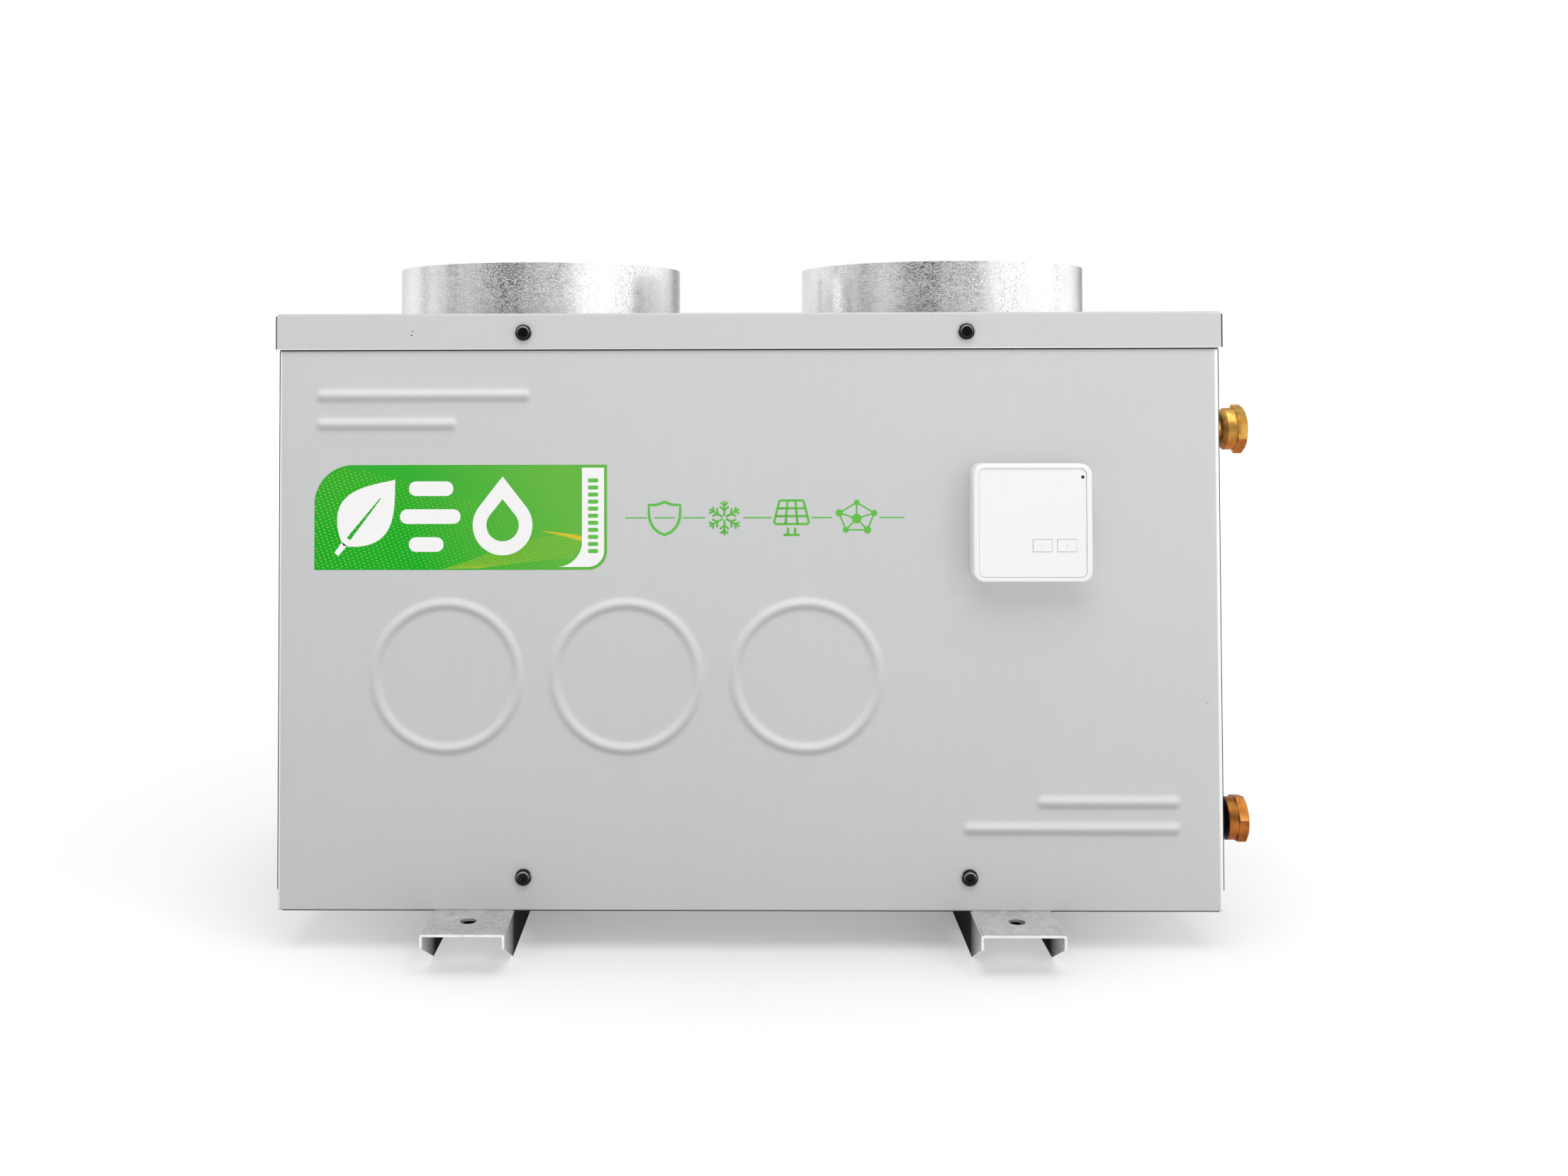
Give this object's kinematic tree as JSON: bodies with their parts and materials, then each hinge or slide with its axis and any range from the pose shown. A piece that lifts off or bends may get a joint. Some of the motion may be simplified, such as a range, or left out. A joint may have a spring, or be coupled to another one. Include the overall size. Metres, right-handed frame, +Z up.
{
  "type": "ducted heat pump module",
  "caption": "Sheet steel box on two foot rails with round duct collars on its lid, brass water unions on one side and a small wall controller on its front.",
  "frame": {"origin": "middle of the outline in plan, on the floor under the foot rails", "axes": "+Z up, the front panel faces -Y, the water unions stand out to +X"},
  "size_m": [0.6083, 0.41, 0.4285],
  "materials": {
    "casing_paint": "fine-texture powder coat",
    "galvanised_steel": "spangled zinc coating",
    "black_screw": "black gloss",
    "zinc_fastener": "bright zinc plate",
    "green_label": "printed film",
    "white_plastic": "fine satin",
    "circuit_board": "solder mask",
    "indicator_lens": "dark lens",
    "black_rubber": "matte",
    "brass": "machined",
    "spring_steel": "spring wire",
    "grey_plastic": "moulded",
    "black_plastic": "moulded",
    "black_enamel": "satin enamel",
    "aluminium_fins": "mill finish",
    "copper_pipe": "drawn copper tube",
    "stainless": "pressed stainless plate",
    "cast_iron": "painted casting"
  },
  "bodies": {
    "casing": {"base_tray": "galvanised_steel", "front_panel": "casing_paint", "back_panel": "casing_paint", "left_side_panel": "casing_paint", "right_side_panel": "casing_paint", "top_lid": "casing_paint", "casing_screws": "black_screw", "left_foot_rail": "galvanised_steel", "right_foot_rail": "galvanised_steel", "foot_rail_bolts": "zinc_fastener", "foot_rail_nuts": "zinc_fastener", "intake_collar": "galvanised_steel", "exhaust_collar": "galvanised_steel", "collar_rivets": "zinc_fastener", "front_label": "green_label", "controller_housing": "white_plastic", "controller_faceplate": "white_plastic", "controller_back_plate": "white_plastic", "controller_board": "circuit_board", "controller_indicator": "indicator_lens", "upper_pipe_grommet": "black_rubber", "upper_union_tail": "brass", "lower_pipe_grommet": "black_rubber", "lower_union_tail": "brass", "condensate_spout": "grey_plastic", "cable_gland": "grey_plastic", "compressor_shell": "black_enamel", "compressor_rubber_feet": "black_rubber", "compressor_bolts": "zinc_fastener", "accumulator": "black_enamel", "compressor_terminal_cover": "black_plastic", "evaporator_fins": "aluminium_fins", "evaporator_end_plates": "galvanised_steel", "evaporator_tubes": "copper_pipe", "condensate_pan": "grey_plastic", "air_partition": "galvanised_steel", "fan_scroll": "galvanised_steel", "fan_stator": "aluminium_fins", "fan_bracket": "galvanised_steel", "exhaust_adapter": "galvanised_steel", "plate_heat_exchanger": "stainless", "pump_volute": "cast_iron", "pump_motor": "black_enamel", "water_pipes": "copper_pipe", "discharge_pipe": "copper_pipe", "suction_pipe": "copper_pipe", "liquid_pipe": "copper_pipe", "filter_drier": "copper_pipe", "expansion_valve": "brass", "electrical_box": "galvanised_steel", "control_board": "circuit_board", "terminal_block": "grey_plastic"},
    "fan_wheel": {"fan_impeller": "black_plastic", "fan_rotor_cup": "aluminium_fins"},
    "upper_slip_ring": {"upper_nut_ring": "spring_steel"},
    "upper_nut": {"upper_union_nut": "brass"},
    "lower_slip_ring": {"lower_nut_ring": "spring_steel"},
    "lower_nut": {"lower_union_nut": "brass"},
    "minus_button": {"minus_key": "white_plastic"},
    "plus_button": {"plus_key": "white_plastic"}
  },
  "joints": [
    {"name": "fan_spin", "type": "hinge", "parent": "casing", "child": "fan_wheel", "pos_m": [0.1184, 0.012, 0.168], "axis": [0, 1, 0], "continuous": true},
    {"name": "upper_nut_slide", "type": "slide", "parent": "casing", "child": "upper_slip_ring", "axis": [1, 0, 0], "range_m": [-0.0015, 0]},
    {"name": "upper_nut_turn", "type": "hinge", "parent": "upper_slip_ring", "child": "upper_nut", "pos_m": [0.29685, -0.128, 0.319], "axis": [1, 0, 0], "continuous": true},
    {"name": "lower_nut_slide", "type": "slide", "parent": "casing", "child": "lower_slip_ring", "axis": [1, 0, 0], "range_m": [-0.0015, 0]},
    {"name": "lower_nut_turn", "type": "hinge", "parent": "lower_slip_ring", "child": "lower_nut", "pos_m": [0.29485, -0.128, 0.074], "axis": [1, 0, 0], "continuous": true},
    {"name": "minus_press", "type": "slide", "parent": "casing", "child": "minus_button", "axis": [0, 1, 0], "range_m": [0, 0.0006], "stiffness_N_per_m": 500},
    {"name": "plus_press", "type": "slide", "parent": "casing", "child": "plus_button", "axis": [0, 1, 0], "range_m": [0, 0.0006], "stiffness_N_per_m": 500}
  ]
}
